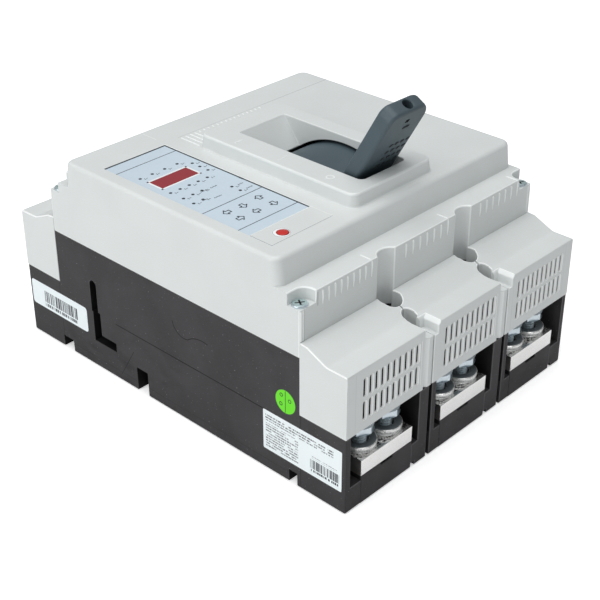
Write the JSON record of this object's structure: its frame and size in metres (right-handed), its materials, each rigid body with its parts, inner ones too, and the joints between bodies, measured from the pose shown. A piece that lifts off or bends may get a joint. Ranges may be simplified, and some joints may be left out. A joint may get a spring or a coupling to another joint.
{
  "type": "molded case circuit breaker",
  "caption": "Three-pole molded case circuit breaker with a toggle handle in a raised collar, an electronic trip unit, a push-to-trip button and covered bar terminals.",
  "frame": {"origin": "centre of the mounting face", "axes": "+X across the poles, to the right with the load end nearest, +Y towards the line end, +Z away from the mounting face"},
  "size_m": [0.21, 0.28, 0.1959],
  "materials": {
    "base_black": "fine matte, dusty",
    "cover_grey": "satin",
    "panel_blue": "smooth film",
    "window_red": "smooth filter",
    "button_red": "gloss",
    "lever_grey": "satin",
    "tinned_bar": "tin plated copper, brushed",
    "zinc_steel": "bluish zinc",
    "washer_steel": "dark plated"
  },
  "bodies": {
    "breaker": {"base_housing": "base_black", "upper_cover": "cover_grey", "handle_collar": "cover_grey", "trip_panel": "panel_blue", "display_window": "window_red", "button_strip": "cover_grey", "pivot_pin": "washer_steel", "cover_screws": "zinc_steel", "load_cover_left": "cover_grey", "load_cover_centre": "cover_grey", "load_cover_right": "cover_grey", "line_cover_left": "cover_grey", "line_cover_centre": "cover_grey", "line_cover_right": "cover_grey", "load_sill_left": "base_black", "load_sill_centre": "base_black", "load_sill_right": "base_black", "line_sill_left": "base_black", "line_sill_centre": "base_black", "line_sill_right": "base_black", "load_bar_left": "tinned_bar", "load_bar_centre": "tinned_bar", "load_bar_right": "tinned_bar", "line_bar_left": "tinned_bar", "line_bar_centre": "tinned_bar", "line_bar_right": "tinned_bar", "load_bolts": "zinc_steel", "load_flat_washers": "washer_steel", "load_spring_washers": "zinc_steel", "line_bolts": "zinc_steel", "line_flat_washers": "washer_steel", "line_spring_washers": "zinc_steel"},
    "handle": {"handle_lever": "lever_grey", "handle_shield": "lever_grey"},
    "trip_button": {"trip_button": "button_red"}
  },
  "joints": [
    {"name": "handle", "type": "hinge", "parent": "breaker", "child": "handle", "pos_m": [0.0045, -0.022, 0.082], "axis": [-1, 0, 0], "range_deg": [0, 59.2]},
    {"name": "trip_button", "type": "slide", "parent": "breaker", "child": "trip_button", "axis": [0, 0, -1], "range_m": [0, 0.003], "stiffness_N_per_m": 400, "springref_m": -0.001}
  ]
}
